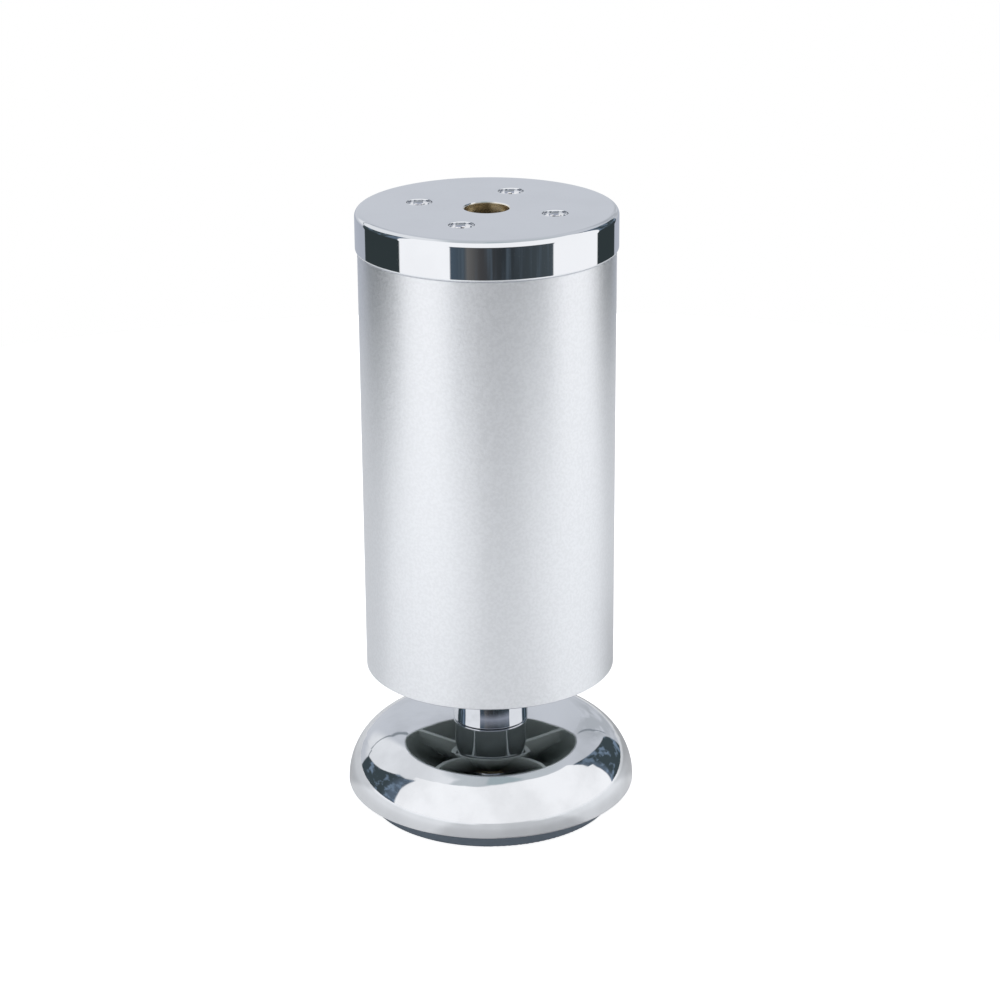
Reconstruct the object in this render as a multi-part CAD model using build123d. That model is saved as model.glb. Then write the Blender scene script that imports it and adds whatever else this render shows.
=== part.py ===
from build123d import *
import math
import os

# Adjustable furniture leg: an extruded tube with a cast cap, standing on a foot
# that screws in and out. Millimetres, +Z up, origin on the floor under the axis.

# Tube: an aluminium extrusion with a central ring carried by radial webs
tube_diameter = 60.0
tube_length = 103.6
tube_wall = 1.2
ring_wall = 1.4
web_count = 4
web_thickness = 1.5
web_azimuth = 45.0
cell_corner_radius = 0.8
tube_edge_chamfer = 0.2

# Cap: a shallow cup whose skirt stands on the tube's end
cap_height = 9.35
cap_overhang = 0.5
cap_top_wall = 3.1
cap_skirt_wall = 2.3
cap_top_edge_radius = 0.8
cap_lower_edge_radius = 0.5
cap_locating_ring_wall = 2.0
bolt_hole_diameter = 10.4
bolt_hole_chamfer = 0.3

# Screws that hold the cap to the nut plate
screw_count = 4
screw_azimuth = 70.0
screw_pitch_circle_diameter = 33.2
screw_shank_diameter = 3.0
screw_length = 8.0
screw_head_diameter = 5.4
screw_head_rim = 0.2
screw_head_depth_below_face = 0.3
screw_head_clearance = 0.05
screw_recess_width = 3.0
screw_recess_slot = 0.7
screw_recess_depth = 0.9
screw_hole_clearance = 0.2
screw_thread_clearance = 0.05

# Nut plate: takes the furniture's bolt, its neck sits in the tube's ring
plate_diameter = 45.0
plate_neck_length = 14.0
plate_pocket_clearance = 0.3
bolt_thread_minor_diameter = 8.5
bolt_thread_chamfer = 0.5

# Adjusting thread: spindle fixed in the foot, nut pressed in the tube's ring
spindle_pitch_diameter = 9.0
spindle_length_above_foot = 91.2
spindle_tip_chamfer = 1.0
spindle_collar_diameter = 14.0
spindle_collar_height = 3.0
spindle_end_diameter = 13.0
spindle_end_height = 2.0
spindle_nut_length = 16.0
spindle_nut_height_in_tube = 50.0
spindle_nut_chamfer = 0.5
thread_clearance = 0.05
press_clearance = 0.05

# Cover sleeve: slides in the tube's ring and hides the spindle
sleeve_diameter = 18.4
sleeve_wall = 1.6
sleeve_length = 51.0
sleeve_edge_radius = 0.35
sleeve_ring_clearance = 0.6
sleeve_seat_clearance = 0.1

# Foot: a cast dome, hollow below, with a boss for the spindle
foot_diameter = 70.0
foot_edge_radius = 0.5
foot_side_radius = 15.4
foot_shoulder_radius = 14.52
foot_side_angle = 45.0
foot_crown_edge_slope = 6.9
foot_crown_rise = 0.7
foot_seat_margin = 0.4
foot_wall = 2.6
foot_rim_width = 6.3
foot_boss_diameter = 20.0
foot_rib_count = 6
foot_rib_thickness = 2.0
foot_gap_to_tube = 14.95

# Pad glued under the foot
pad_diameter = 60.2
pad_thickness = 4.6
pad_edge_radius = 0.5

# Radii that follow from the sizes above
tube_radius = tube_diameter / 2
cap_radius = tube_radius + cap_overhang
sleeve_radius = sleeve_diameter / 2
ring_inner_radius = sleeve_radius + sleeve_ring_clearance
ring_outer_radius = ring_inner_radius + ring_wall
foot_radius = foot_diameter / 2
pitch_circle_radius = screw_pitch_circle_diameter / 2
spindle_radius = spindle_pitch_diameter / 2
pocket_radius = plate_diameter / 2 + plate_pocket_clearance

# Heights above the floor, from the pad upwards
foot_base_z = pad_thickness
widest_z = foot_base_z + foot_edge_radius
side_top_z = widest_z + foot_side_radius * math.cos(math.radians(foot_side_angle))
shoulder_drop = math.cos(math.radians(foot_crown_edge_slope)) - math.cos(math.radians(foot_side_angle))
crown_edge_z = side_top_z + foot_shoulder_radius * shoulder_drop
seat_z = crown_edge_z + foot_crown_rise
tube_base_z = seat_z + foot_gap_to_tube
tube_top_z = tube_base_z + tube_length
cap_top_z = tube_top_z + cap_height
plate_top_z = cap_top_z - cap_top_wall


def ring_solid(outer_radius, inner_radius, base_z, top_z):
    """A plain ring or, with no inner radius, a disc, between two heights."""
    with BuildPart() as ring:
        with Locations((0, 0, base_z)):
            Cylinder(outer_radius, top_z - base_z, align=(Align.CENTER, Align.CENTER, Align.MIN))
            if inner_radius > 0:
                Cylinder(
                    inner_radius,
                    top_z - base_z,
                    align=(Align.CENTER, Align.CENTER, Align.MIN),
                    mode=Mode.SUBTRACT,
                )
    return ring.part


def circle_edges(part, radius, height):
    """The circular edges of one radius, centred on the axis at one height."""
    edges = part.edges().filter_by(GeomType.CIRCLE)
    return [
        edge
        for edge in edges
        if abs(edge.radius - radius) < 0.01
        and abs(edge.arc_center.Z - height) < 0.01
        and math.hypot(edge.arc_center.X, edge.arc_center.Y) < 0.01
    ]


def tube_cell():
    """One hollow cell of the extrusion, between two webs, with rounded corners."""
    half_pitch = math.radians(180.0 / web_count)
    reach = tube_radius / math.cos(half_pitch) * 1.5
    half_web = web_thickness / 2
    root = half_web / math.sin(half_pitch)
    with BuildSketch() as cell:
        Circle(tube_radius - tube_wall)
        Circle(ring_outer_radius, mode=Mode.SUBTRACT)
        with BuildLine():
            Polyline(
                (root, 0),
                (root + reach * math.cos(half_pitch), reach * math.sin(half_pitch)),
                (root + reach * math.cos(half_pitch), -reach * math.sin(half_pitch)),
                close=True,
            )
        make_face(mode=Mode.INTERSECT)
        fillet(cell.vertices(), cell_corner_radius)
    return cell.sketch


def make_tube():
    cell = tube_cell()
    with BuildPart() as tube:
        with BuildSketch(Plane.XY.offset(tube_base_z)):
            Circle(tube_radius)
            Circle(ring_inner_radius, mode=Mode.SUBTRACT)
            first_cell = web_azimuth + 180.0 / web_count
            with PolarLocations(0, web_count, start_angle=first_cell):
                add(cell, mode=Mode.SUBTRACT)
        extrude(amount=tube_length)
        rims = circle_edges(tube, tube_radius, tube_base_z) + circle_edges(tube, tube_radius, tube_top_z)
        chamfer(rims, tube_edge_chamfer)
    return tube.part


def screw_places(height):
    """Places on the screws' pitch circle at one height."""
    places = PolarLocations(pitch_circle_radius, screw_count, start_angle=screw_azimuth)
    return [Location((0, 0, height)) * place for place in places]


def make_top_cap():
    locating_radius = pocket_radius + cap_locating_ring_wall
    skirt_inner_radius = cap_radius - cap_skirt_wall
    mouth_radius = screw_head_diameter / 2 + screw_head_rim + screw_head_depth_below_face
    with BuildPart() as cap:
        add(ring_solid(cap_radius, 0, tube_top_z, cap_top_z))
        fillet(circle_edges(cap, cap_radius, cap_top_z), cap_top_edge_radius)
        fillet(circle_edges(cap, cap_radius, tube_top_z), cap_lower_edge_radius)
        add(ring_solid(skirt_inner_radius, locating_radius, tube_top_z, plate_top_z), mode=Mode.SUBTRACT)
        add(ring_solid(pocket_radius, 0, tube_top_z, plate_top_z), mode=Mode.SUBTRACT)
        add(ring_solid(bolt_hole_diameter / 2, 0, plate_top_z, cap_top_z), mode=Mode.SUBTRACT)
        chamfer(circle_edges(cap, bolt_hole_diameter / 2, cap_top_z), bolt_hole_chamfer)
        with Locations(*screw_places(cap_top_z)):
            CounterSinkHole(
                screw_shank_diameter / 2 + screw_hole_clearance,
                mouth_radius,
                depth=cap_top_wall,
                counter_sink_angle=90,
            )
    return cap.part


def make_screw():
    """One countersunk screw, head up, with its head's face at height zero."""
    shank_radius = screw_shank_diameter / 2
    head_radius = screw_head_diameter / 2 - screw_head_clearance
    head_bottom = -screw_head_rim - (head_radius - shank_radius)
    with BuildPart() as screw:
        with BuildSketch(Plane.XZ):
            with BuildLine():
                Polyline(
                    (0, 0),
                    (head_radius, 0),
                    (head_radius, -screw_head_rim),
                    (shank_radius, head_bottom),
                    (shank_radius, -screw_length + shank_radius),
                    (0, -screw_length),
                    close=True,
                )
            make_face()
        revolve(axis=Axis.Z)
        with BuildSketch() as recess:
            Rectangle(screw_recess_width, screw_recess_slot)
            Rectangle(screw_recess_slot, screw_recess_width)
        extrude(amount=-screw_recess_depth, taper=12, mode=Mode.SUBTRACT)
    return screw.part


def make_cap_screws():
    screw = make_screw()
    places = screw_places(cap_top_z - screw_head_depth_below_face)
    return Compound(children=[place * screw for place in places])


def make_nut_plate():
    bore_radius = bolt_thread_minor_diameter / 2
    neck_base_z = tube_top_z - plate_neck_length
    with BuildPart() as plate:
        add(ring_solid(plate_diameter / 2, 0, tube_top_z, plate_top_z))
        add(ring_solid(ring_inner_radius - press_clearance, 0, neck_base_z, tube_top_z))
        add(ring_solid(bore_radius, 0, neck_base_z, plate_top_z), mode=Mode.SUBTRACT)
        chamfer(circle_edges(plate, bore_radius, plate_top_z), bolt_thread_chamfer)
        chamfer(circle_edges(plate, bore_radius, neck_base_z), bolt_thread_chamfer)
        with Locations(*screw_places(plate_top_z)):
            Hole(screw_shank_diameter / 2 + screw_thread_clearance, depth=plate_top_z - tube_top_z)
    return plate.part


def make_spindle_nut():
    base_z = tube_base_z + spindle_nut_height_in_tube
    top_z = base_z + spindle_nut_length
    bore_radius = spindle_radius + thread_clearance
    with BuildPart() as nut:
        add(ring_solid(ring_inner_radius - press_clearance, bore_radius, base_z, top_z))
        chamfer(circle_edges(nut, bore_radius, base_z), spindle_nut_chamfer)
        chamfer(circle_edges(nut, bore_radius, top_z), spindle_nut_chamfer)
    return nut.part


def make_spindle():
    """Threaded rod at its pitch diameter, with a collar on the foot and a riveted end below."""
    tip_z = seat_z + spindle_length_above_foot
    collar_radius = spindle_collar_diameter / 2
    end_radius = spindle_end_diameter / 2
    with BuildPart() as spindle:
        add(ring_solid(spindle_radius, 0, foot_base_z, tip_z))
        add(ring_solid(collar_radius, 0, seat_z, seat_z + spindle_collar_height))
        add(ring_solid(end_radius, 0, foot_base_z, foot_base_z + spindle_end_height))
        chamfer(circle_edges(spindle, spindle_radius, tip_z), spindle_tip_chamfer)
    return spindle.part


def make_cover_sleeve():
    base_z = seat_z + sleeve_seat_clearance
    top_z = base_z + sleeve_length
    with BuildPart() as sleeve:
        add(ring_solid(sleeve_radius, sleeve_radius - sleeve_wall, base_z, top_z))
        ends = circle_edges(sleeve, sleeve_radius, base_z) + circle_edges(sleeve, sleeve_radius, top_z)
        fillet(ends, sleeve_edge_radius)
    return sleeve.part


def dome_solid(inset):
    """The foot's revolved form. An inset gives the hollow inside its wall."""
    side_turn = 90.0 - foot_side_angle
    shoulder_turn = foot_side_angle - foot_crown_edge_slope
    slope = math.radians(foot_crown_edge_slope)
    edge_radius = foot_edge_radius if inset == 0 else 0
    seat_radius = sleeve_radius + foot_seat_margin
    crown_z = seat_z - inset
    with BuildPart() as dome:
        with BuildSketch(Plane.XZ):
            with BuildLine():
                side = JernArc(
                    start=(foot_radius - inset, widest_z),
                    tangent=(0, 1),
                    radius=foot_side_radius - inset,
                    arc_size=side_turn,
                )
                shoulder = JernArc(
                    start=side @ 1,
                    tangent=side % 1,
                    radius=foot_shoulder_radius - inset,
                    arc_size=shoulder_turn,
                )
                crown = Spline(
                    shoulder @ 1,
                    (seat_radius, crown_z),
                    tangents=[(-math.cos(slope), math.sin(slope)), (-1, 0)],
                )
                Polyline(
                    crown @ 1,
                    (0, crown_z),
                    (0, foot_base_z),
                    (foot_radius - inset - edge_radius, foot_base_z),
                )
                if edge_radius > 0:
                    JernArc(
                        start=(foot_radius - edge_radius, foot_base_z),
                        tangent=(1, 0),
                        radius=edge_radius,
                        arc_size=90,
                    )
                else:
                    Line((foot_radius - inset, foot_base_z), (foot_radius - inset, widest_z))
            make_face()
        revolve(axis=Axis.Z)
    return dome.part


def make_foot():
    rib_height = seat_z - foot_base_z
    with BuildPart() as hollow_form:
        add(dome_solid(foot_wall))
        add(ring_solid(foot_radius - foot_rim_width, 0, foot_base_z, seat_z), mode=Mode.INTERSECT)
    hollow = hollow_form.part
    with BuildPart() as ribs:
        with Locations((0, 0, foot_base_z)):
            with PolarLocations(0, foot_rib_count):
                Box(
                    foot_radius,
                    foot_rib_thickness,
                    rib_height,
                    align=(Align.MIN, Align.CENTER, Align.MIN),
                )
        add(hollow, mode=Mode.INTERSECT)
    with BuildPart() as foot:
        add(dome_solid(0))
        add(hollow, mode=Mode.SUBTRACT)
        add(ribs.part)
        add(ring_solid(foot_boss_diameter / 2, 0, foot_base_z, seat_z))
        bore = spindle_radius + press_clearance
        add(ring_solid(bore, 0, foot_base_z, seat_z), mode=Mode.SUBTRACT)
        end = spindle_end_diameter / 2 + press_clearance
        add(ring_solid(end, 0, foot_base_z, foot_base_z + spindle_end_height), mode=Mode.SUBTRACT)
    return foot.part


def make_foot_pad():
    with BuildPart() as pad:
        add(ring_solid(pad_diameter / 2, 0, 0, pad_thickness))
        fillet(circle_edges(pad, pad_diameter / 2, 0), pad_edge_radius)
    return pad.part


def write_parts():
    os.makedirs("parts", exist_ok=True)
    pieces = {
        "tube": make_tube(),
        "top_cap": make_top_cap(),
        "cap_screws": make_cap_screws(),
        "nut_plate": make_nut_plate(),
        "spindle_nut": make_spindle_nut(),
        "spindle": make_spindle(),
        "cover_sleeve": make_cover_sleeve(),
        "foot": make_foot(),
        "foot_pad": make_foot_pad(),
    }
    for name, piece in pieces.items():
        export_step(piece, os.path.join("parts", name + ".step"))
    print("heights: seat", seat_z, "tube", tube_base_z, tube_top_z, "cap", cap_top_z)


write_parts()
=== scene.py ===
import math

import bmesh
import bpy
import numpy as np
from mathutils import Matrix


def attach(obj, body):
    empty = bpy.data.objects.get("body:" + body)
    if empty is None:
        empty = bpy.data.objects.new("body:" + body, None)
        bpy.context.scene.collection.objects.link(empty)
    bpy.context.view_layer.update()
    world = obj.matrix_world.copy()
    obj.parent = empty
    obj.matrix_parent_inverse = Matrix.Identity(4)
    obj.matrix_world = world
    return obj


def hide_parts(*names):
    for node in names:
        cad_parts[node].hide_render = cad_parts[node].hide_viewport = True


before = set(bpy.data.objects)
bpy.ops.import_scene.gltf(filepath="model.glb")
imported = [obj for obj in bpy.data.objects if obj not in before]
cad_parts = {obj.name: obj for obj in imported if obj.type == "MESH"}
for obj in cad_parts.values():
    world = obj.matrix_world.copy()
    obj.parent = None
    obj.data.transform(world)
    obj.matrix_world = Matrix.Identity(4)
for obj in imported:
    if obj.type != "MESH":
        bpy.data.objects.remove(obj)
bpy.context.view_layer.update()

MM = 0.001

# Camera, fitted to the outline of the real leg (metres and radians)
CAMERA_DISTANCE = 0.61903
CAMERA_HEIGHT = 0.30598
CAMERA_PITCH = 0.3542
CAMERA_ROLL = 0.0075
CAMERA_LENS = 99.53
CAMERA_SENSOR = 36.0
CAMERA_CLIP = 0.01
AXIS_PIXEL_X = 488.9
IMAGE_PIXELS = 1000.0

# Floor: a pale disc, in metres, with turns in degrees as for the studio. The glows and the
# greyer parts show only to the camera and in the chrome. In the chrome, the glows at its sides
# are painted light, and the greyer parts close to the leg and behind it are painted shadow.
FLOOR_RADIUS = 0.42
FLOOR_RINGS = 24
FLOOR_SPOKES = 96
FLOOR_ALBEDO = 0.80
# Painted shadow: the floor's tone in the chrome, close to the leg and behind it
NEAR_SHADOW_ALBEDO = 0.66
NEAR_SHADOW_REACH = (0.045, 0.080)
CAMERA_GLOW = 0.75
CHROME_GLOW = 0.05
LEFT_GLOW = 0.20
RIGHT_GLOW = 0.23
LEFT_SIDE = (-97.0, -27.0)
RIGHT_SIDE = (49.0, 103.0)
SIDE_SOFT = 5.0
FAR_FLOOR = (0.11, 0.21)
LEFT_FAR = (-100.0, -10.0)
RIGHT_FAR = (30.0, 118.0)
FAR_SOFT = 6.0
LEFT_FAR_GLOW = 0.36
RIGHT_FAR_GLOW = 0.30
BACK_SHADOW_TURNS = (118.0, 178.0)
BACK_SHADOW_REACH = (0.10, 0.17)
BACK_SHADOW_ALBEDO = 0.48
BACK_SHADOW_SOFT = 14.0

# Studio round the leg, in degrees: azimuth from the camera's side and positive to the
# right, elevation above the horizon. Each top edge is straight between its stops.
WHITE_PANEL = (-84.0, 112.0)
WHITE_PANEL_TOP = [(-84, 46), (-72, 57), (-40, 65), (0, 70), (30, 70), (60, 67), (82, 61), (112, 52)]
LEFT_CARD = (-132.0, -81.5)
LEFT_CARD_TOP = [(-134, 9), (-120, 16), (-112, 21), (-105, 27), (-97, 34), (-90, 36), (-80, 42)]
RIGHT_CARD = (111.0, 146.0)
RIGHT_CARD_TOP = [(109, 48), (115, 46), (130, 34), (145, 20), (150, 15)]
LEFT_CARD_EDGE = (-87.0, -98.0)
RIGHT_CARD_EDGE = (113.0, 118.0)
FRONT_GAP = (-32.0, 59.0)
FRONT_GAP_FADE = (13.0, 23.0)
LEFT_LOBE = (-150.0, -58.0)
LEFT_LOBE_FOOT = (2.0, 12.0)
LEFT_LOBE_TOP = (74.0, 64.0)
RIGHT_LOBE = (146.0, 171.0)
RIGHT_LOBE_FOOT = (-3.0, 1.0)
RIGHT_LOBE_TOP = (40.0, 24.0)
LOBE_SOFT = 5.0
LEFT_SEAM = (-170.0, -131.0)
LEFT_SEAM_HEIGHT = [(-170, 31), (-155, 30), (-147, 24), (-140, 17), (-131, 9)]
RIGHT_SEAM = (149.0, 166.0)
RIGHT_SEAM_HEIGHT = [(149, 15), (155, 25), (166, 31)]
SEAM_HALF_WIDTH = 0.9
SEAM_SOFT = 0.5
CEILING_FROM = (50.0, 64.0)
DARK_CEILING = (-8.0, 62.0)
DARK_CEILING_FROM = (69.5, 71.0)
DARK_CEILING_SOFT = 6.0
WHITE_TURN = (-48.0, 10.0)
BELOW_HORIZON = (-2.0, -4.0)
SECOND_BOUNCE = (1.4, 1.6)
EDGE_SOFT = 0.8

# Clouds in the studio: waves over a unit of direction, detail, and the levels they fade between
LOBE_CLOUD = (6.0, 4.0, 0.3, 0.5)
GAP_CLOUD = (13.0, 5.0, 0.48, 0.68)
CARD_CLOUD = (9.0, 5.0, 0.52, 0.66)
GAP_MOTTLE_SHARE = 0.75

# Studio tones (linear)
WHITE_LEFT = (1.16, 1.16, 1.17)
WHITE_RIGHT = (1.14, 1.14, 1.15)
BACKDROP = (0.66, 0.685, 0.735)
BACKDROP_LOW = (0.48, 0.51, 0.58)
CEILING = (0.60, 0.64, 0.67)
CEILING_DARK = (0.445, 0.525, 0.555)
LOBE = (0.94, 0.955, 0.98)
RIGHT_LOBE_TONE = (0.50, 0.525, 0.56)
SEAM = (0.28, 0.31, 0.34)
CARD_BLUE = (0.12, 0.16, 0.21)
CARD_DARK = (0.055, 0.075, 0.085)
CARD_LOW = (0.036, 0.048, 0.051)
CARD_FLECK = (0.20, 0.27, 0.36)
GAP_TONES = [
    (-30, (0.075, 0.105, 0.138)),
    (-20, (0.06, 0.08, 0.10)),
    (-17, (0.15, 0.148, 0.145)),
    (-6, (0.065, 0.065, 0.068)),
    (14, (0.033, 0.040, 0.046)),
    (58, (0.07, 0.088, 0.10)),
]
GAP_MOTTLE = (0.095, 0.125, 0.155)
GAP_MIRRORED = (0.55, 0.58, 0.68)

# Finishes (linear colours)
CHROME = (0.76, 0.775, 0.80)
ALUMINIUM = (0.83, 0.845, 0.87)
RAW_ALUMINIUM = (0.48, 0.53, 0.51)
HOLE_PLATING = (0.86, 0.80, 0.68)
# Painted shade: a darker band across the middle of the cap's hole
HOLE_PAINTED_SHADE = (0.42, 0.36, 0.27)
NICKEL = (0.86, 0.86, 0.87)
# Painted shade in the screws' recesses
RECESS_PAINTED_SHADE = (0.10, 0.10, 0.105)
YELLOW_ZINC = (0.66, 0.56, 0.36)
YELLOW_ZINC_DEEP = (0.58, 0.47, 0.25)
PLAIN_ZINC = (0.60, 0.61, 0.63)
PAD_BLUE_GREY = (0.13, 0.165, 0.205)

# Roughness of the finishes, the shares of their finer patterns, and their bumps in metres
CHROME_ROUGHNESS = 0.035
SMUDGE_ROUGHNESS = 0.05
HOLE_ROUGHNESS = 0.2
HAZE_SHARE = 0.02
SATIN_ROUGHNESS = 0.375
SATIN_SPREAD = 0.10
SATIN_BUMP = 0.034 * MM
SPARKLE_SHARE = 0.3
RAW_METALLIC_LOSS = 0.75
STEEL_SPREAD = 0.08
STEEL_BUMP = 0.006 * MM
RUBBER_ROUGHNESS = 0.62
RUBBER_SPREAD = 0.1
RUBBER_BUMP = 0.08 * MM

# Patterns of the finishes: waves over a metre, and detail. Two tones fade between levels.
CHROME_CLOUD = (75.0, 4.0)
CHROME_WAVES = (55.0, 1.0)
CHROME_HAZE = (900.0, 2.0)
SATIN_GRAIN = (1450.0, 1.5)
SATIN_SPARKLE = (3000.0, 1.0)
STEEL_CLOUD = (260.0, 3.0)
STEEL_GRAIN = (1500.0, 2.0)
RUBBER_CLOUD = (90.0, 4.0)
RUBBER_PEBBLE = (1800.0, 3.0)
SMUDGE_TONE_LEVELS = (0.42, 0.7)
SMUDGE_ROUGH_LEVELS = (0.45, 0.7)
TONE_LEVELS = (0.35, 0.65)

# Places of the finishes on the leg. The flare's height is its curve times the square of the
# distance inside its edge, in metres; the hole's painted shade is a band across it, in millimetres.
TUBE_SKIN_RADIUS = 29.4 * MM
TUBE_SKIN_SOFT = 0.1 * MM
HOLE_RADIUS = 5.35 * MM
HOLE_SOFT = 0.02 * MM
HOLE_SHADE_BAND = (-3.0, 1.0)
HOLE_SHADE_SOFT = 0.8
SEAT_FLARE_RADIUS = 15.6 * MM
SEAT_FLARE_CURVE = 8.5
RECESS_SHADE_SOFT = 0.25
DEGREE = 180.0 / math.pi

# Cap and screws, in millimetres and degrees. The cap's upper edge, the screws' wells and their
# heads are as in the photograph; the other sizes are those of the CAD.
CAP_RADIUS = 30.5
CAP_TOP = 148.737
CAP_BASE = 139.387
CAP_PLATE = 145.637
CAP_UPPER_ROUND = 1.5
CAP_LOWER_ROUND = 0.5
SKIRT_INNER_RADIUS = 28.2
LOCATING_RING = (22.8, 24.8)
PATCH = (12.0, 21.2)
BOLT_HOLE = (5.2, 0.3)
SCREW_CIRCLE = 16.6
SCREW_TURNS = (70.0, 160.0, 250.0, 340.0)
RECESS_TURNS = (12.0, 47.0, 71.0, 33.0)
WELL_RADIUS = 3.0
WELL_DEPTH = 0.75
WELL_EDGE = 0.15
WELL_EDGE_MIDDLE = 0.04
SHANK_HOLE_RADIUS = 1.7
SHANK_RADIUS = 1.5
SCREW_TIP = -8.3
HEAD_RADIUS = 2.75
HEAD_RIM_BASE = 0.15
HEAD_RIM_TOP = 0.08
HEAD_CHAMFER = 0.1
RECESS_REACH = 1.45
RECESS_HALF_WIDTH = 0.35
RECESS_DEPTH = 0.9
RECESS_MARGIN = 0.12
RECESS_SIDE_SLOPE = 0.16
RECESS_END_SLOPE = 0.24
ON_FACE = 0.01

# Grids of the cap and screws
HALF_SECTOR = 45.0
SECTOR_STEPS = 48
SIDE_STEPS = 16
PATCH_ROWS = 9
ARC_POINTS = 9
BESIDE_ROUND = 0.1
SCREW_SPOKES = 96
HEAD_RINGS = 27
WELD_DISTANCE = 0.5e-6
SHARP_ANGLE = 30.0


def make_camera():
    """The camera of the photograph: a short telephoto with a small roll and sideways shift."""
    data = bpy.data.cameras.new("camera")
    data.sensor_fit = "HORIZONTAL"
    data.sensor_width = CAMERA_SENSOR
    data.lens = CAMERA_LENS
    data.shift_x = (IMAGE_PIXELS / 2 - AXIS_PIXEL_X) / IMAGE_PIXELS
    data.clip_start = CAMERA_CLIP
    camera = bpy.data.objects.new("camera", data)
    tilt = Matrix.Rotation(math.pi / 2 - CAMERA_PITCH, 4, "X")
    roll = Matrix.Rotation(-CAMERA_ROLL, 4, "Z")
    place = Matrix.Translation((0.0, -CAMERA_DISTANCE, CAMERA_HEIGHT))
    camera.matrix_world = place @ tilt @ roll
    bpy.context.scene.collection.objects.link(camera)
    bpy.context.scene.camera = camera


class Wire:
    """A node socket that can be used in sums. Each operator adds one Math node."""

    def __init__(self, shop, socket):
        self.shop = shop
        self.socket = socket

    def maths(self, operation, *others):
        """One Math node on this value and the others."""
        return self.shop.node("Math", {"operation": operation}, [self, *others])

    def __add__(self, other):
        return self.maths("ADD", other)

    __radd__ = __add__

    def __sub__(self, other):
        return self.maths("SUBTRACT", other)

    def __rsub__(self, other):
        return self.shop.node("Math", {"operation": "SUBTRACT"}, [other, self])

    def __mul__(self, other):
        return self.maths("MULTIPLY", other)

    __rmul__ = __mul__

    def __truediv__(self, other):
        return self.maths("DIVIDE", other)


class Shop:
    """Builds the nodes of one material or of the world."""

    def __init__(self, tree):
        self.tree = tree

    def node(self, kind, settings=None, inputs=(), output=0):
        """Adds a node of a type, with its settings first, then its sockets by order or name."""
        made = self.tree.nodes.new("ShaderNode" + kind)
        for name, value in (settings or {}).items():
            if name == "stops":
                self.set_stops(made, value)
            else:
                setattr(made, name, value)
        pairs = inputs.items() if isinstance(inputs, dict) else enumerate(inputs)
        for key, value in pairs:
            self.feed(made.inputs[key], value)
        return Wire(self, made.outputs[output])

    def feed(self, socket, value):
        """Links a wire, or sets a number or a colour."""
        if isinstance(value, Wire):
            self.tree.links.new(value.socket, socket)
        elif isinstance(value, tuple) and len(value) == 3:
            socket.default_value = (*value, 1.0)
        else:
            socket.default_value = value

    @staticmethod
    def set_stops(ramp, stops):
        """Colour ramp stops as (position, grey level or colour)."""
        elements = ramp.color_ramp.elements
        while len(elements) < len(stops):
            elements.new(1.0)
        for element, (position, colour) in zip(elements, stops):
            element.position = position
            level = colour if isinstance(colour, tuple) else (colour, colour, colour)
            element.color = (*level, 1.0)

    def smooth(self, value, low, high):
        """0 below low, 1 above high, smooth between; low may be the higher one."""
        return self.node(
            "MapRange",
            {"interpolation_type": "SMOOTHSTEP"},
            {"Value": value, "From Min": low, "From Max": high},
        )

    def within(self, value, span, soft):
        """1 inside a span and 0 outside it, with soft ends."""
        low, high = span
        return self.smooth(value, low - soft, low + soft) * self.smooth(value, high + soft, high - soft)

    def blend(self, factor, first, second):
        """Mixes two colours."""
        return self.node("Mix", {"data_type": "RGBA"}, {0: factor, 6: first, 7: second}, output=2)

    def plan(self, place):
        """Left-right place, front-back place and distance from the leg's axis."""
        across = self.node("SeparateXYZ", None, [place], output=0)
        along = self.node("SeparateXYZ", None, [place], output=1)
        return across, along, (across * across + along * along).maths("SQRT")

    def noise(self, place, scale, detail):
        """Cloudy noise of a scale in waves over a unit of place, from 0 to 1."""
        return self.node("TexNoise", None, {"Vector": place, "Scale": scale, "Detail": detail})

    def clouds(self, place, scale, detail, low, high):
        """Noise that is 0 below its low level and 1 above its high one."""
        return self.smooth(self.noise(place, scale, detail), low, high)

    def seen_directly(self, light_path):
        """1 for rays from the camera, also through glass."""
        camera_ray = Wire(self, light_path.outputs["Is Camera Ray"])
        return camera_ray + Wire(self, light_path.outputs["Is Transmission Ray"])


def darker(colour, share):
    """A colour with each level times the share."""
    return tuple(share * level for level in colour)


def grey(level):
    """A grey of one level."""
    return (level,) * 3


def new_material(name):
    """An empty material, and the shop that builds its nodes."""
    material = bpy.data.materials.new(name)
    material.use_nodes = True
    material.node_tree.nodes.clear()
    return material, Shop(material.node_tree)


def close_material(shop, shader, kind="OutputMaterial"):
    """Joins the finished shader to the tree's output."""
    end = shop.tree.nodes.new("ShaderNode" + kind)
    shop.feed(end.inputs["Surface"], shader)


def finish(shop, inputs):
    """Closes a material with one surface shader of the inputs given."""
    close_material(shop, shop.node("BsdfPrincipled", None, inputs))


def floor_mesh():
    """A flat disc on a polar grid: radius times the cosine and sine of the turn, at height zero."""
    radius = np.linspace(0.0, FLOOR_RADIUS, FLOOR_RINGS)[:, None]
    turn = np.linspace(0.0, 2 * np.pi, FLOOR_SPOKES, endpoint=False)[None, :]
    x = radius * np.cos(turn)
    y = radius * np.sin(turn)
    points = np.stack([x, y, np.zeros_like(x)], axis=-1).reshape(-1, 3)
    row = np.arange(FLOOR_RINGS - 1)[:, None] * FLOOR_SPOKES
    next_row = row + FLOOR_SPOKES
    column = np.arange(FLOOR_SPOKES)[None, :]
    beside = (column + 1) % FLOOR_SPOKES
    corners = [row + column, next_row + column, next_row + beside, row + beside]
    faces = np.stack(corners, axis=-1)
    mesh = bpy.data.meshes.new("floor")
    mesh.from_pydata(points.tolist(), [], faces.reshape(-1, 4).tolist())
    return mesh


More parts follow.
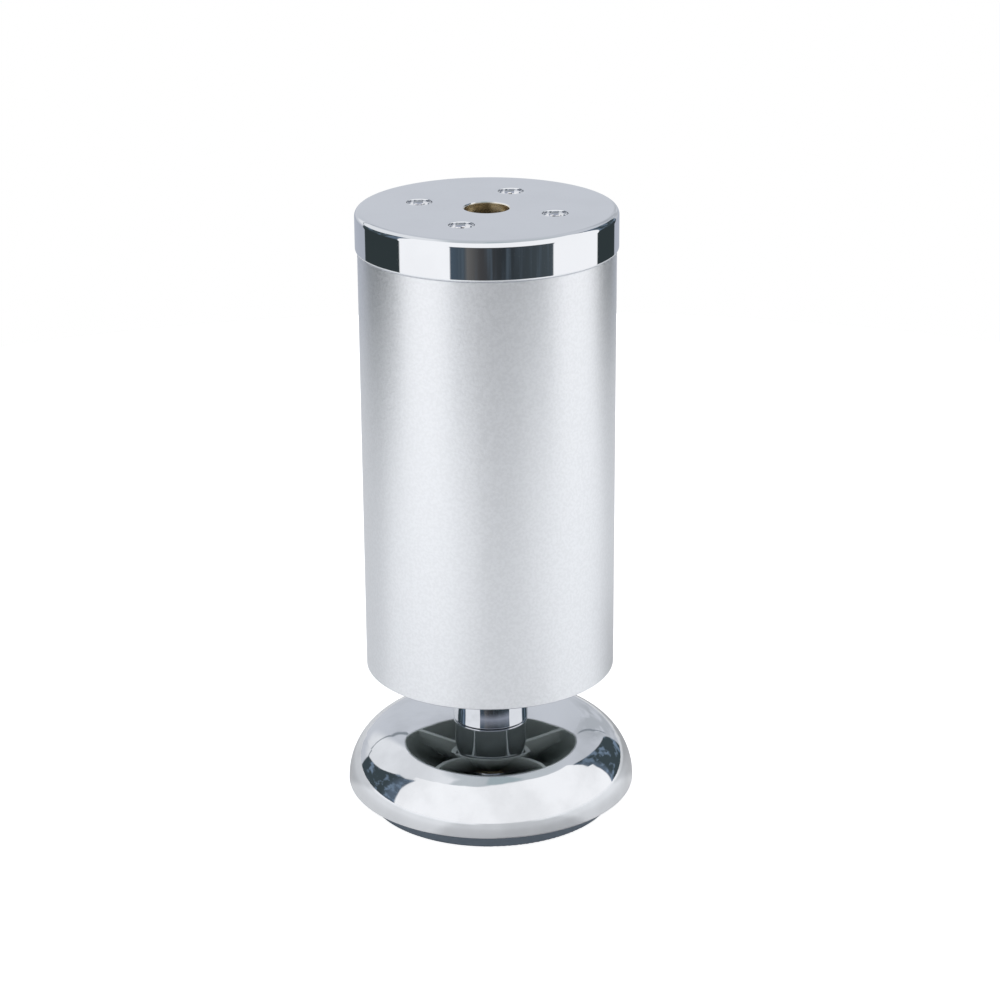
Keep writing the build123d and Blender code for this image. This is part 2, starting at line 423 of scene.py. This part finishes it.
def make_floor():
    """Pale matt floor that takes the leg's shadow and shows white to the camera; in the chrome it has
    painted light at its sides and painted shadow round the leg and behind it.
    """
    floor = bpy.data.objects.new("floor", floor_mesh())
    bpy.context.scene.collection.objects.link(floor)
    material, shop = new_material("pale_floor")
    light_path = shop.tree.nodes.new("ShaderNodeLightPath")
    direct = shop.seen_directly(light_path)
    mirrored = Wire(shop, light_path.outputs["Is Glossy Ray"])
    place = shop.node("TexCoord", None, {}, output="Object")
    across, along, radius = shop.plan(place)
    turn = across.maths("ARCTAN2", along * -1.0) * DEGREE
    sides = LEFT_GLOW * shop.within(turn, LEFT_SIDE, SIDE_SOFT)
    sides = sides + RIGHT_GLOW * shop.within(turn, RIGHT_SIDE, SIDE_SOFT)
    far_left = LEFT_FAR_GLOW * shop.within(turn, LEFT_FAR, FAR_SOFT)
    far_right = RIGHT_FAR_GLOW * shop.within(turn, RIGHT_FAR, FAR_SOFT)
    far = shop.smooth(radius, FAR_FLOOR[0], FAR_FLOOR[1])
    sides = sides + far * (far_left + far_right - sides)
    glow = direct * CAMERA_GLOW + mirrored * (CHROME_GLOW + sides)
    # Painted shadow: greyer close to the leg, seen only in the chrome
    near_shadow = mirrored * shop.smooth(radius, NEAR_SHADOW_REACH[1], NEAR_SHADOW_REACH[0])
    tone = shop.blend(near_shadow, grey(FLOOR_ALBEDO), grey(NEAR_SHADOW_ALBEDO))
    # Painted shadow of the leg on the floor behind it, seen only in the chrome
    back_shadow = mirrored * shop.within(turn, BACK_SHADOW_TURNS, BACK_SHADOW_SOFT)
    back_shadow = back_shadow * shop.smooth(radius, BACK_SHADOW_REACH[1], BACK_SHADOW_REACH[0])
    tone = shop.blend(back_shadow, tone, grey(BACK_SHADOW_ALBEDO))
    paint = shop.node("BsdfDiffuse", None, {"Color": tone})
    shine = shop.node("Emission", None, {"Color": grey(1.0), "Strength": glow})
    close_material(shop, shop.node("AddShader", None, [paint, shine]))
    floor.data.materials.append(material)


def grid_piece(name, grids, material):
    """One object of point grids in millimetres whose rows close on themselves.

    Points that meet are merged, so poles close and grids join. Edges over 30 degrees stay sharp.
    """
    points = []
    faces = []
    start = 0
    for grid in grids:
        rows, columns = grid.shape[:2]
        row = np.arange(rows - 1)[:, None] * columns
        column = np.arange(columns)[None, :]
        beside = (column + 1) % columns
        next_row = row + columns
        corners = [row + column, row + beside, next_row + beside, next_row + column]
        quads = np.stack(corners, axis=-1)
        points.append(grid.reshape(-1, 3) * MM)
        faces.append(quads.reshape(-1, 4) + start)
        start += rows * columns
    mesh = bpy.data.meshes.new(name)
    mesh.from_pydata(np.concatenate(points).tolist(), [], np.concatenate(faces).tolist())
    shape = bmesh.new()
    shape.from_mesh(mesh)
    bmesh.ops.remove_doubles(shape, verts=shape.verts, dist=WELD_DISTANCE)
    shape.to_mesh(mesh)
    shape.free()
    mesh.shade_smooth()
    mesh.set_sharp_from_angle(angle=math.radians(SHARP_ANGLE))
    mesh.materials.append(material)
    piece = bpy.data.objects.new(name, mesh)
    bpy.context.scene.collection.objects.link(piece)
    return piece


def turned(profile, turns, centre=(0.0, 0.0)):
    """A profile turned about an upright axis: radius times cosine and sine of the turn, height kept.

    Faces point out of the metal when the profile runs counterclockwise, radius right, height up.
    """
    profile = np.asarray(profile, dtype=float)
    radius = profile[:, 0:1]
    x = centre[0] + radius * np.cos(turns)
    y = centre[1] + radius * np.sin(turns)
    return np.stack([x, y, np.broadcast_to(profile[:, 1:2], x.shape)], axis=-1)


def arc(centre, radius, first, last):
    """Rounded edge of a profile: centre plus radius times the cosine and sine of the angle."""
    angle = np.radians(np.linspace(first, last, ARC_POINTS))
    across = centre[0] + radius * np.cos(angle)
    height = centre[1] + radius * np.sin(angle)
    return np.stack([across, height], axis=-1)


def sector_outline(middle):
    """Outline, counterclockwise, of the quarter of the flat ring round one screw.

    Its points are radius times the cosine and sine of the turn, along the outer arc, the side
    inwards, the inner arc and the side outwards.
    """
    inner, outer = PATCH
    sweep = np.radians(np.linspace(middle - HALF_SECTOR, middle + HALF_SECTOR, SECTOR_STEPS + 1))
    side = np.linspace(outer, inner, SIDE_STEPS + 1)
    radius = np.concatenate([
        np.full(SECTOR_STEPS, outer),
        side[:-1],
        np.full(SECTOR_STEPS, inner),
        side[::-1][:-1],
    ])
    turn = np.concatenate([
        sweep[:-1],
        np.full(SIDE_STEPS, sweep[-1]),
        sweep[::-1][:-1],
        np.full(SIDE_STEPS, sweep[0]),
    ])
    return np.stack([radius * np.cos(turn), radius * np.sin(turn)], axis=-1)


def screw_centre(turn):
    """Place of a screw: the circle's radius times the cosine and sine of its turn."""
    angle = math.radians(turn)
    return SCREW_CIRCLE * math.cos(angle), SCREW_CIRCLE * math.sin(angle)


def pierced_patch(outline, centre, hole_radius, height):
    """Flat patch with a round hole.

    Each row is a straight blend of the outline with the circle's point in the same direction.
    """
    middle = np.array(centre)
    reach = outline - middle
    circle = middle + hole_radius * reach / np.linalg.norm(reach, axis=1, keepdims=True)
    share = np.linspace(0.0, 1.0, PATCH_ROWS)[:, None, None]
    plan = outline * (1.0 - share) + circle * share
    return np.concatenate([plan, np.full(plan.shape[:2] + (1,), height)], axis=-1)


def make_cap(material):
    """The cap, of grids that join.

    Its outside and its bolt hole are turned profiles. Each screw has a flat patch above and one
    below, and between them the turned profile of its well and shank hole.
    """
    inner, outer = PATCH
    steps = np.arange(len(SCREW_TURNS) * SECTOR_STEPS)
    turns = np.radians(SCREW_TURNS[0] - HALF_SECTOR + steps * (2.0 * HALF_SECTOR) / SECTOR_STEPS)
    upper = (CAP_RADIUS - CAP_UPPER_ROUND, CAP_TOP - CAP_UPPER_ROUND)
    lower = (CAP_RADIUS - CAP_LOWER_ROUND, CAP_BASE + CAP_LOWER_ROUND)
    outside = np.concatenate([
        [(outer, CAP_PLATE), (LOCATING_RING[0], CAP_PLATE), (LOCATING_RING[0], CAP_BASE)],
        [(LOCATING_RING[1], CAP_BASE), (LOCATING_RING[1], CAP_PLATE)],
        [(SKIRT_INNER_RADIUS, CAP_PLATE), (SKIRT_INNER_RADIUS, CAP_BASE)],
        arc(lower, CAP_LOWER_ROUND, -90.0, 0.0),
        [(CAP_RADIUS, lower[1] + BESIDE_ROUND), (CAP_RADIUS, upper[1] - BESIDE_ROUND)],
        arc(upper, CAP_UPPER_ROUND, 0.0, 90.0),
        [(upper[0] - BESIDE_ROUND, CAP_TOP), (outer, CAP_TOP)],
    ])
    hole, chamfer = BOLT_HOLE
    middle = [
        (inner, CAP_TOP),
        (hole + chamfer, CAP_TOP),
        (hole, CAP_TOP - chamfer),
        (hole, CAP_PLATE),
        (inner, CAP_PLATE),
    ]
    grids = [turned(outside, turns), turned(middle, turns)]
    mouth = CAP_TOP - WELL_DEPTH
    well = [
        (WELL_RADIUS + WELL_EDGE, CAP_TOP),
        (WELL_RADIUS + WELL_EDGE_MIDDLE, CAP_TOP - WELL_EDGE_MIDDLE),
        (WELL_RADIUS, CAP_TOP - WELL_EDGE),
        (WELL_RADIUS, mouth),
        (SHANK_HOLE_RADIUS, mouth - WELL_RADIUS + SHANK_HOLE_RADIUS),
        (SHANK_HOLE_RADIUS, CAP_PLATE),
    ]
    for turn in SCREW_TURNS:
        centre = screw_centre(turn)
        outline = sector_outline(turn)
        reach = outline - np.array(centre)
        directions = np.arctan2(reach[:, 1], reach[:, 0])
        grids.append(pierced_patch(outline, centre, WELL_RADIUS + WELL_EDGE, CAP_TOP))
        grids.append(turned(well, directions, centre))
        grids.append(pierced_patch(outline, centre, SHANK_HOLE_RADIUS, CAP_PLATE)[::-1])
    return grid_piece("cap_shell", grids, material)


def make_screws(material):
    """Four screws: a turned profile whose flat head dips by a cross recess with sloping walls.

    The dip is the recess's depth times two ramps, cut to 0 and 1: one falls with the distance
    from the nearer axis of the cross, the other with the distance along the farther one.
    """
    spokes = np.radians(np.arange(SCREW_SPOKES) * 360.0 / SCREW_SPOKES)
    face = CAP_TOP - WELL_DEPTH
    rim = face - HEAD_RIM_BASE
    radii = np.linspace(HEAD_RADIUS - HEAD_CHAMFER, 0.0, HEAD_RINGS)
    profile = np.concatenate([
        [(0.0, CAP_TOP + SCREW_TIP), (SHANK_RADIUS, CAP_TOP + SCREW_TIP + SHANK_RADIUS)],
        [(SHANK_RADIUS, rim - HEAD_RADIUS + SHANK_RADIUS), (HEAD_RADIUS, rim)],
        [(HEAD_RADIUS, face - HEAD_RIM_TOP)],
        np.stack([radii, np.full_like(radii, face)], axis=-1),
    ])
    half_width = RECESS_HALF_WIDTH + RECESS_MARGIN
    half_length = RECESS_REACH + RECESS_MARGIN
    grids = []
    for turn, recess_turn in zip(SCREW_TURNS, RECESS_TURNS):
        grid = turned(profile, spokes)
        across = np.abs(grid[..., 0])
        along = np.abs(grid[..., 1])
        side = np.clip((half_width - np.minimum(across, along)) / RECESS_SIDE_SLOPE, 0.0, 1.0)
        end = np.clip((half_length - np.maximum(across, along)) / RECESS_END_SLOPE, 0.0, 1.0)
        on_face = grid[..., 2] > face - ON_FACE
        grid[..., 2] -= RECESS_DEPTH * side * end * on_face
        cosine = math.cos(math.radians(recess_turn))
        sine = math.sin(math.radians(recess_turn))
        x, y = grid[..., 0].copy(), grid[..., 1].copy()
        centre = screw_centre(turn)
        grid[..., 0] = centre[0] + cosine * x - sine * y
        grid[..., 1] = centre[1] + sine * x + cosine * y
        grids.append(grid)
    return grid_piece("screws", grids, material)


def edge_height(shop, azimuth, stops):
    """Elevation of a panel's edge over the azimuth, in degrees, straight between its stops."""
    scaled = [(turn / 360.0 + 0.5, height / 90.0) for turn, height in stops]
    return shop.node("ValToRGB", {"stops": scaled}, [azimuth / 360.0 + 0.5]) * 90.0


def seam(shop, azimuth, elevation, span, height):
    """1 on a thin line that follows its height over the azimuth."""
    offset = elevation - edge_height(shop, azimuth, height)
    line = shop.within(offset, (-SEAM_HALF_WIDTH, SEAM_HALF_WIDTH), SEAM_SOFT)
    return shop.within(azimuth, span, EDGE_SOFT) * line


def panel(shop, azimuth, elevation, span, top):
    """1 on a panel that stands on the horizon, or below it, up to its top edge."""
    below_top = shop.smooth(edge_height(shop, azimuth, top) - elevation, -EDGE_SOFT, EDGE_SOFT)
    return shop.within(azimuth, span, EDGE_SOFT) * below_top


def card_tone(shop, azimuth, edge, fleck, under):
    """A dark card's colour: blue at its edge, flecked, and darker below the horizon."""
    tone = shop.blend(shop.smooth(azimuth, *edge), CARD_BLUE, CARD_DARK)
    tone = shop.blend(fleck, tone, CARD_FLECK)
    return shop.blend(under, tone, CARD_LOW)


def make_world():
    """A plain studio: white panels in front, dark cards at both sides, a grey backdrop.

    Each form is painted over the ones before it, by a mask of azimuth and elevation.
    """
    world = bpy.data.worlds.new("studio")
    world.use_nodes = True
    world.node_tree.nodes.clear()
    bpy.context.scene.world = world
    shop = Shop(world.node_tree)
    direction = shop.node("TexCoord", None, {}, output="Generated")
    east = shop.node("SeparateXYZ", None, [direction], output=0)
    north = shop.node("SeparateXYZ", None, [direction], output=1)
    height = shop.node("SeparateXYZ", None, [direction], output=2)
    azimuth = east.maths("ARCTAN2", north * -1.0) * DEGREE
    elevation = height.maths("ARCSINE") * DEGREE
    light_path = shop.tree.nodes.new("ShaderNodeLightPath")
    # Light that reaches the camera over two chrome faces shows the low part of the studio at
    # every height, as light from under the horizon does
    second = shop.smooth(Wire(shop, light_path.outputs["Glossy Depth"]), *SECOND_BOUNCE)
    under = shop.smooth(elevation, *BELOW_HORIZON)
    low = under.maths("MAXIMUM", second)

    colour = shop.blend(shop.smooth(elevation, *CEILING_FROM), BACKDROP, CEILING)
    colour = shop.blend(under, colour, BACKDROP_LOW)
    ceiling = shop.within(azimuth, DARK_CEILING, DARK_CEILING_SOFT)
    ceiling = ceiling * shop.smooth(elevation, *DARK_CEILING_FROM)
    colour = shop.blend(ceiling, colour, CEILING_DARK)
    lobe = shop.within(azimuth, LEFT_LOBE, LOBE_SOFT)
    lobe = lobe * shop.smooth(elevation, *LEFT_LOBE_TOP) * shop.smooth(elevation, *LEFT_LOBE_FOOT)
    colour = shop.blend(lobe, colour, LOBE)
    lobe = shop.within(azimuth, RIGHT_LOBE, LOBE_SOFT)
    lobe = lobe * shop.smooth(elevation, *RIGHT_LOBE_FOOT) * shop.smooth(elevation, *RIGHT_LOBE_TOP)
    lobe = lobe * shop.clouds(direction, *LOBE_CLOUD)
    colour = shop.blend(lobe, colour, RIGHT_LOBE_TONE)
    seams = seam(shop, azimuth, elevation, LEFT_SEAM, LEFT_SEAM_HEIGHT)
    seams = seams + seam(shop, azimuth, elevation, RIGHT_SEAM, RIGHT_SEAM_HEIGHT)
    colour = shop.blend(seams, colour, SEAM)
    white = shop.blend(shop.smooth(azimuth, *WHITE_TURN), WHITE_LEFT, WHITE_RIGHT)
    lit = panel(shop, azimuth, elevation, WHITE_PANEL, WHITE_PANEL_TOP).maths("MAXIMUM", second)
    lit = lit * shop.within(azimuth, WHITE_PANEL, EDGE_SOFT)
    colour = shop.blend(lit, colour, white)
    tones = [(turn / 360.0 + 0.5, tone) for turn, tone in GAP_TONES]
    gap_colour = shop.node("ValToRGB", {"stops": tones}, [azimuth / 360.0 + 0.5])
    mottle = GAP_MOTTLE_SHARE * shop.clouds(direction, *GAP_CLOUD)
    gap_colour = shop.blend(mottle, gap_colour, GAP_MOTTLE)
    gap_colour = shop.blend(shop.smooth(elevation, *FRONT_GAP_FADE), gap_colour, GAP_MIRRORED)
    colour = shop.blend(shop.within(azimuth, FRONT_GAP, EDGE_SOFT) * low, colour, gap_colour)
    fleck = shop.clouds(direction, *CARD_CLOUD)
    tone = card_tone(shop, azimuth, LEFT_CARD_EDGE, fleck, under)
    colour = shop.blend(panel(shop, azimuth, elevation, LEFT_CARD, LEFT_CARD_TOP), colour, tone)
    tone = card_tone(shop, azimuth, RIGHT_CARD_EDGE, fleck, under)
    colour = shop.blend(panel(shop, azimuth, elevation, RIGHT_CARD, RIGHT_CARD_TOP), colour, tone)
    studio = shop.node("Background", None, {"Color": colour, "Strength": 1.0})
    backdrop = shop.node("Background", None, {"Color": grey(1.0), "Strength": 1.0})
    seen = shop.seen_directly(light_path)
    close_material(shop, shop.node("MixShader", None, [seen, studio, backdrop]), "OutputWorld")


def chrome(name, wave_depth, smudge, hole=False, flare=False):
    """Mirror-plated chrome: a slow waviness of the casting, a fine haze and faint smudges.

    The cap's hole is yellowish and duller, with painted shade in a band across its middle. The
    foot rises in a low flare to the sleeve: its height is a parabola of the distance inside the flare's
    edge.
    """
    material, shop = new_material(name)
    place = shop.node("TexCoord", None, {}, output="Object")
    radius = shop.plan(place)[2]
    cloud = shop.noise(place, *CHROME_CLOUD)
    stained = shop.smooth(cloud, *SMUDGE_TONE_LEVELS) * smudge
    tone = shop.blend(stained, CHROME, darker(CHROME, 0.8))
    hazy = shop.smooth(cloud, *SMUDGE_ROUGH_LEVELS)
    rough = CHROME_ROUGHNESS + SMUDGE_ROUGHNESS * smudge * hazy
    waves = shop.noise(place, *CHROME_WAVES) + HAZE_SHARE * shop.noise(place, *CHROME_HAZE)
    height = waves * wave_depth
    if hole:
        bore = shop.smooth(radius, HOLE_RADIUS + HOLE_SOFT, HOLE_RADIUS - HOLE_SOFT)
        across = shop.plan(place)[0] / MM
        # Painted shade: a darker band across the middle of the hole's wall, over its yellowish plating
        shade_band = shop.within(across, HOLE_SHADE_BAND, HOLE_SHADE_SOFT)
        plating_and_shade = shop.blend(shade_band, HOLE_PLATING, HOLE_PAINTED_SHADE)
        tone = shop.blend(bore, tone, plating_and_shade)
        rough = rough + HOLE_ROUGHNESS * bore
    if flare:
        inward = (SEAT_FLARE_RADIUS - radius).maths("MAXIMUM", 0.0)
        height = height + inward * inward * SEAT_FLARE_CURVE
    normal = shop.node("Bump", None, {"Strength": 1.0, "Distance": 1.0, "Height": height})
    finish(shop, {"Base Color": tone, "Metallic": 1.0, "Roughness": rough, "Normal": normal})
    return material


def satin_anodised():
    """Blasted and anodised outside with a fine sparkle; raw grey extruded metal inside."""
    material, shop = new_material("satin_anodised")
    place = shop.node("TexCoord", None, {}, output="Object")
    radius = shop.plan(place)[2]
    inside = shop.smooth(radius, TUBE_SKIN_RADIUS, TUBE_SKIN_RADIUS - TUBE_SKIN_SOFT)
    grain = shop.noise(place, *SATIN_GRAIN)
    height = grain + SPARKLE_SHARE * shop.noise(place, *SATIN_SPARKLE)
    tone = shop.blend(shop.smooth(grain, *TONE_LEVELS), darker(ALUMINIUM, 0.95), ALUMINIUM)
    tone = shop.blend(inside, tone, RAW_ALUMINIUM)
    metallic = 1.0 - RAW_METALLIC_LOSS * inside
    rough = SATIN_ROUGHNESS + SATIN_SPREAD * (grain - 0.5)
    normal = shop.node("Bump", None, {"Strength": 1.0, "Distance": SATIN_BUMP, "Height": height})
    finish(shop, {"Base Color": tone, "Metallic": metallic, "Roughness": rough, "Normal": normal})
    return material


def plated_steel(name, colour, deep_colour, roughness, shade_below=None):
    """Nickel or zinc on steel: clouds of a second tone, an uneven roughness and a fine bump.

    Below the height given, in millimetres, it is dark: painted shade in the screws' recesses.
    """
    material, shop = new_material(name)
    place = shop.node("TexCoord", None, {}, output="Object")
    cloud = shop.noise(place, *STEEL_CLOUD)
    grain = shop.noise(place, *STEEL_GRAIN)
    tone = shop.blend(shop.smooth(cloud, *TONE_LEVELS), colour, deep_colour)
    if shade_below is not None:
        # Painted shade: dark below a height, in the screws' recesses
        height = shop.node("SeparateXYZ", None, [place], output=2) / MM
        recess_shade = shop.smooth(height, shade_below, shade_below - RECESS_SHADE_SOFT)
        tone = shop.blend(recess_shade, tone, RECESS_PAINTED_SHADE)
    rough = roughness + STEEL_SPREAD * (cloud - 0.5)
    normal = shop.node("Bump", None, {"Strength": 1.0, "Distance": STEEL_BUMP, "Height": grain})
    finish(shop, {"Base Color": tone, "Metallic": 1.0, "Roughness": rough, "Normal": normal})
    return material


def rubber(name, colour):
    """Matt rubber with a fine pebbled face."""
    material, shop = new_material(name)
    place = shop.node("TexCoord", None, {}, output="Object")
    cloud = shop.noise(place, *RUBBER_CLOUD)
    pebble = shop.noise(place, *RUBBER_PEBBLE)
    tone = shop.blend(cloud, colour, darker(colour, 0.8))
    rough = RUBBER_ROUGHNESS + RUBBER_SPREAD * (cloud - 0.5)
    normal = shop.node("Bump", None, {"Strength": 0.6, "Distance": RUBBER_BUMP, "Height": pebble})
    finish(shop, {"Base Color": tone, "Roughness": rough, "Normal": normal})
    return material


def paint_node(node, material):
    """Gives a carried-over solid its finish."""
    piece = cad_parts[node]
    piece.data.materials.clear()
    piece.data.materials.append(material)


make_camera()
make_floor()
make_world()

cap_chrome = chrome("cap_chrome", wave_depth=0.01 * MM, smudge=0.15, hole=True)
sleeve_chrome = chrome("sleeve_chrome", wave_depth=0.005 * MM, smudge=0.15)
foot_chrome = chrome("foot_chrome", wave_depth=0.03 * MM, smudge=0.6, flare=True)
yellow_zinc = plated_steel("yellow_zinc", YELLOW_ZINC, YELLOW_ZINC_DEEP, roughness=0.3)
plain_zinc = plated_steel("plain_zinc", PLAIN_ZINC, darker(PLAIN_ZINC, 0.85), roughness=0.32)

paint_node("cover_sleeve", sleeve_chrome)
paint_node("foot", foot_chrome)
paint_node("tube", satin_anodised())
paint_node("nut_plate", yellow_zinc)
paint_node("spindle_nut", plain_zinc)
paint_node("spindle", plain_zinc)
paint_node("foot_pad", rubber("pad_rubber", PAD_BLUE_GREY))

cap = make_cap(cap_chrome)
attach(cap, "leg")
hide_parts("top_cap")
# The screws' painted shade lies below this height, inside their recesses
recess_from = CAP_TOP - WELL_DEPTH - HEAD_RIM_TOP
nickel_deep = darker(NICKEL, 0.9)
nickel = plated_steel("nickel_screws", NICKEL, nickel_deep, roughness=0.12, shade_below=recess_from)
screws = make_screws(nickel)
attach(screws, "leg")
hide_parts("cap_screws")

scene = bpy.context.scene
scene.view_settings.view_transform = "Standard"
